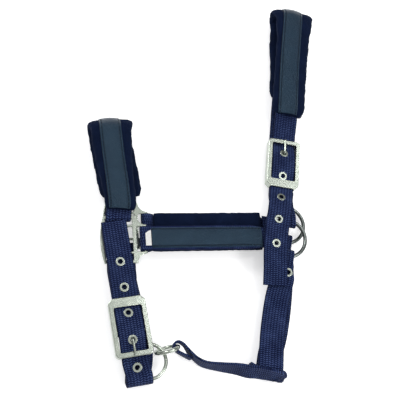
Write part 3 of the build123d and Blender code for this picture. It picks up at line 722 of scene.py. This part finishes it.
def near_middle(route, across, half):
    """A test for the points that the strip stitched along the middle holds down."""
    marks = [(to_row(point), side) for point, _, side, _ in frames(dense(route, 4), across)]

    def held(vertex):
        point, side = min(marks, key=lambda mark: (mark[0] - vertex).length_squared)
        return abs((vertex - point).dot(side)) < half / 1000
    return held


def ended(share, length, full, less, reach=8.0):
    """full along the pad, falling by less towards its two ends."""
    edge = min(share, 1 - share) * length
    return full - less * max(0.0, 1 - edge / reach) ** 2


def pulled(a, b, by, width):
    """Station a moved by towards station b."""
    return (a[0] + (b[0] - a[0]).normalized() * by, width)


POLL_LENGTH, NOSE_LENGTH, CHEEK_LENGTH = 235, 190, 112
ROW_OFFSET, CHEEK_ROW_OFFSET = 8.8, 8.6        # of a stitch row, from the strip's middle
SUNK, CHEEK_SUNK = 1.15, 0.8                   # of a row below the strip's top, which falls to its edges


def folded_pad(name, route, across, sizes, length):
    """The poll or nose pad: a stuffed sleeve, the strip along its outside and the strip's stitching."""
    body = [(point + across * shift, width - 1) for (point, _), (width, shift) in zip(route, sizes)]
    sleeve = band(f"{name}_sleeve", body, across, lambda t: ended(t, length, PAD_T - 0.6, 3),
                  profile=ROUND, step=2.5)
    inflate(sleeve, near_middle(route, across, 11))
    dress(sleeve, PLUSH, "plush", f"{name}_pad")
    strip = [pulled(route[0], route[1], 0.8, LEATHER_W - 1.5)]
    strip += [(point, LEATHER_W) for point, _ in route[1:-1]]
    strip += [pulled(route[-1], route[-2], 3, LEATHER_W - 1.5)]
    lift = PAD_T / 2 + GAP + LEATHER_T / 2
    cover = band(f"{name}_strip", strip, across, LEATHER_T, lift=lift, sag=1.5)
    dress(cover, LEATHER, "leather", f"{name}_leather")
    rows = stitches(f"{name}_stitching", strip, across, lift + LEATHER_T / 2 - SUNK, ROW_OFFSET, (2.5, 4))
    dress(rows, THREAD, "webbing")


def cheek_pad(side, square, ring, out):
    """A cheek piece's pad, on the inside of its webbing, and the strip on the outside."""
    near = out > 0
    bar_x, ring_x, y = square.x + CHEEK_BAR, ring.x - RING_R, square.y
    run_z = square.z + LOOP_R if near else 2.7
    middle = run_z - out * (WEB_T / 2 + GAP + 3.5)
    route = [at(x, y, middle) for x in (bar_x + 7, bar_x + 60, ring_x - 22)]
    route += [at(ring_x - (7 if near else 8), y, middle - out * 0.9)]
    sleeve = band(f"{side}_cheek_sleeve", route, Vector((0, -1, 0)),
                  lambda t: ended(t, CHEEK_LENGTH, 6.4, 2, 5), 27, profile=ROUND, step=3)
    inflate(sleeve, near_middle(route, Vector((0, -1, 0)), 10), 0.8)
    dress(sleeve, PLUSH, "plush", f"{side}_cheek_pad")
    strip = [at(bar_x + (7 if near else 13), y, run_z), at(ring_x - 22, y, run_z)]
    if near:
        strip += [at(ring_x - 9, y, ring.z + LOOP_R + 1.0)]
    lift = WEB_T / 2 + GAP + LEATHER_T / 2
    across = Vector((0, -out, 0))
    cover = band(f"{side}_cheek_strip", strip, across, LEATHER_T, CHEEK_LEATHER_W, lift, sag=1.0)
    dress(cover, LEATHER, "leather", f"{side}_cheek_leather")
    top = lift + LEATHER_T / 2 - CHEEK_SUNK
    dress(stitches(f"{side}_cheek_stitching", strip, across, top, CHEEK_ROW_OFFSET), THREAD, "webbing")


def pads():
    folded_pad("poll", poll_route(), CROWN_ACROSS, POLL_PAD_SIZES, POLL_LENGTH)
    folded_pad("nose", nose_route(), NOSE_ACROSS, NOSE_PAD_SIZES, NOSE_LENGTH)
    cheek_pad("near", SQUARE, RING, 1)
    cheek_pad("far", FAR_SQUARE, FAR_RING, -1)


TAB_CORNER = Vector((-80.4, -75, 21.62))
TAB_W, TAB_H, TAB_T = 5.6, 16, 0.35
TAB_CUT, TAB_SHOULDER = 3.4, 1.2               # how much shorter the tab is at its cut corner, and beside it
TAB_ROWS = 9


def label():
    """Blank woven tab with one cut corner, a little lifted at its free edge."""
    verts, faces = [], []
    for layer in (0, 1):
        for i in range(TAB_ROWS):
            t = i / (TAB_ROWS - 1)
            for x, cut in ((0, TAB_CUT), (TAB_W / 2, TAB_SHOULDER), (TAB_W, 0)):
                curl = 0.35 * (1 - x / TAB_W) ** 2 + 0.1 * sin(5 * t)
                verts.append(to_row(TAB_CORNER + Vector((x, t * (TAB_H - cut), curl * 0.5 + TAB_T * layer))))
    per = TAB_ROWS * 3
    for i in range(TAB_ROWS - 1):
        for k in range(2):
            a = i * 3 + k
            faces.append((a, a + 3, a + 4, a + 1))
            faces.append((per + a, per + a + 1, per + a + 4, per + a + 3))
        for k in (0, 2):
            a = i * 3 + k
            quad = (a, a + per, a + per + 3, a + 3)
            faces.append(quad if k == 0 else quad[::-1])
    for k in range(2):
        for row in (0, TAB_ROWS - 1):
            a = row * 3 + k
            quad = (a, a + 1, a + 1 + per, a + per)
            faces.append(quad if row == 0 else quad[::-1])
    tab = new_object("care_tab", verts, faces)
    smooth_edges(tab, 50)
    dress(tab, LABEL, "label", "label_tab")


def hardware():
    """The CAD metalwork keeps its shape and gets its material."""
    for name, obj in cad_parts.items():
        if any(word in name for word in ("buckle", "square", "eyelet", "lead_ring", "connector_ring")):
            material = NICKEL
        elif "cheek_ring" in name:
            material = WIRE
        else:
            continue
        obj.data.materials.clear()
        obj.data.materials.append(material)


# ---------------------------------------------------------------- stage, lights, camera
SKY = [(0.02, (1, 1, 1)), (0.08, (0.14, 0.14, 0.15)), (0.45, (0.35, 0.35, 0.36)), (0.85, (0.85, 0.85, 0.85))]
LAMPS = (                                      # place, size, watts
    ((0.71, 0.50, 0.99), 0.2, 1.6),
    ((0.24, 0.13, 1.04), 0.16, 1.0),
    ((-0.75, 0.9, 1.1), 0.5, 9),
    ((0.9, -0.7, 1.0), 0.5, 8),
)


def studio():
    bpy.context.scene.view_settings.view_transform = "Standard"
    bpy.ops.mesh.primitive_plane_add(size=30, location=(0, 0, -0.0005))
    floor = bpy.context.object
    floor.name = "floor"
    material, tree, shader = new_material("floor")
    shader.inputs["Base Color"].default_value = (0.95, 0.95, 0.95, 1)
    shader.inputs["Roughness"].default_value = 1.0
    shader.inputs["Specular IOR Level"].default_value = 0.0
    shader.inputs["Emission Color"].default_value = (1, 1, 1, 1)
    shader.inputs["Emission Strength"].default_value = 0.45
    floor.data.materials.append(material)
    world = bpy.data.worlds.new("studio")
    bpy.context.scene.world = world
    world.use_nodes = True
    tree = world.node_tree
    coords = node(tree, "ShaderNodeTexCoord")
    sky = node(tree, "ShaderNodeSeparateXYZ", [("Vector", coords.outputs["Generated"])])
    tree.links.new(ramp(tree, sky.outputs["Z"], SKY), tree.nodes["Background"].inputs["Color"])
    tree.nodes["Background"].inputs["Strength"].default_value = 0.9
    for spot, size, power in LAMPS:
        lamp = bpy.data.lights.new("softbox", "AREA")
        lamp.shape, lamp.size, lamp.energy = "SQUARE", size, power
        holder = bpy.data.objects.new("softbox", lamp)
        holder.location = spot
        holder.rotation_euler = (-Vector(spot)).to_track_quat("-Z", "Y").to_euler()
        bpy.context.scene.collection.objects.link(holder)


def camera():
    lens = bpy.data.cameras.new("camera")
    lens.lens, lens.sensor_width = 66, 36
    lens.clip_start, lens.clip_end = 0.05, 50
    eye = bpy.data.objects.new("camera", lens)
    eye.location = (-0.1891, -0.2875, 0.7003)
    eye.rotation_euler = [radians(a) for a in (21.5, -12.12, -4.73)]
    bpy.context.scene.collection.objects.link(eye)
    bpy.context.scene.camera = eye


straps()
pads()
label()
hardware()
studio()
camera()
